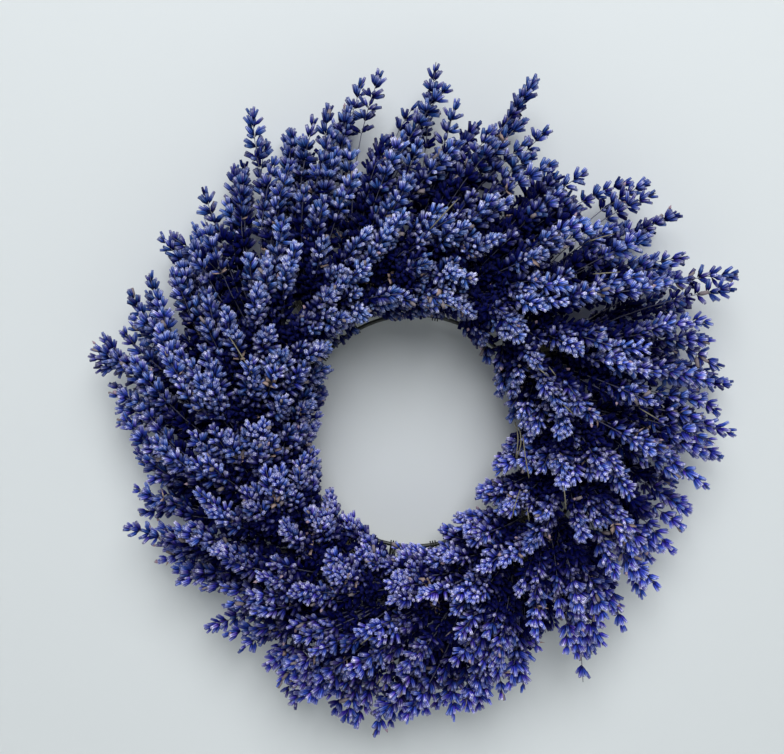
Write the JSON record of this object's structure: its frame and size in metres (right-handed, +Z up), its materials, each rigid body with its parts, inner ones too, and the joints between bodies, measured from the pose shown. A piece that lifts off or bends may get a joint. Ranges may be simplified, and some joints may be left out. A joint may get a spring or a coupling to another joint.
{
  "type": "dried lavender wreath",
  "caption": "Dried lavender wreath: tied bunches of violet-blue flower spikes laid clockwise round a hidden ring frame of wire, to hang on a wall or door.",
  "frame": {"origin": "the hanging point: underside of the frame's inner ring, at the top of the wreath's hole, where a nail carries it", "axes": "+Z up, +Y back into the wall, so the wreath faces -Y; +X to the right as seen from the front"},
  "size_m": [0.3535, 0.0874, 0.3702],
  "materials": {
    "frame_wire": "dark painted steel wire",
    "binding_wire": "thin dark annealed wire",
    "dried_stems": "dry, straw green",
    "dried_buds": "dry, matte, violet blue"
  },
  "bodies": {
    "root": {"wire_frame": "frame_wire", "binding_wire": "binding_wire", "stems_01": "dried_stems", "stems_02": "dried_stems", "stems_03": "dried_stems", "stems_04": "dried_stems", "stems_05": "dried_stems", "stems_06": "dried_stems", "stems_07": "dried_stems", "stems_08": "dried_stems", "stems_09": "dried_stems", "stems_10": "dried_stems", "stems_11": "dried_stems", "stems_12": "dried_stems", "stems_13": "dried_stems", "stems_14": "dried_stems", "stems_15": "dried_stems", "stems_16": "dried_stems", "stems_17": "dried_stems", "stems_18": "dried_stems", "heads_01": "dried_buds", "heads_02": "dried_buds", "heads_03": "dried_buds", "heads_04": "dried_buds", "heads_05": "dried_buds", "heads_06": "dried_buds", "heads_07": "dried_buds", "heads_08": "dried_buds", "heads_09": "dried_buds", "heads_10": "dried_buds", "heads_11": "dried_buds", "heads_12": "dried_buds", "heads_13": "dried_buds", "heads_14": "dried_buds", "heads_15": "dried_buds", "heads_16": "dried_buds", "heads_17": "dried_buds", "heads_18": "dried_buds"}
  },
  "joints": []
}
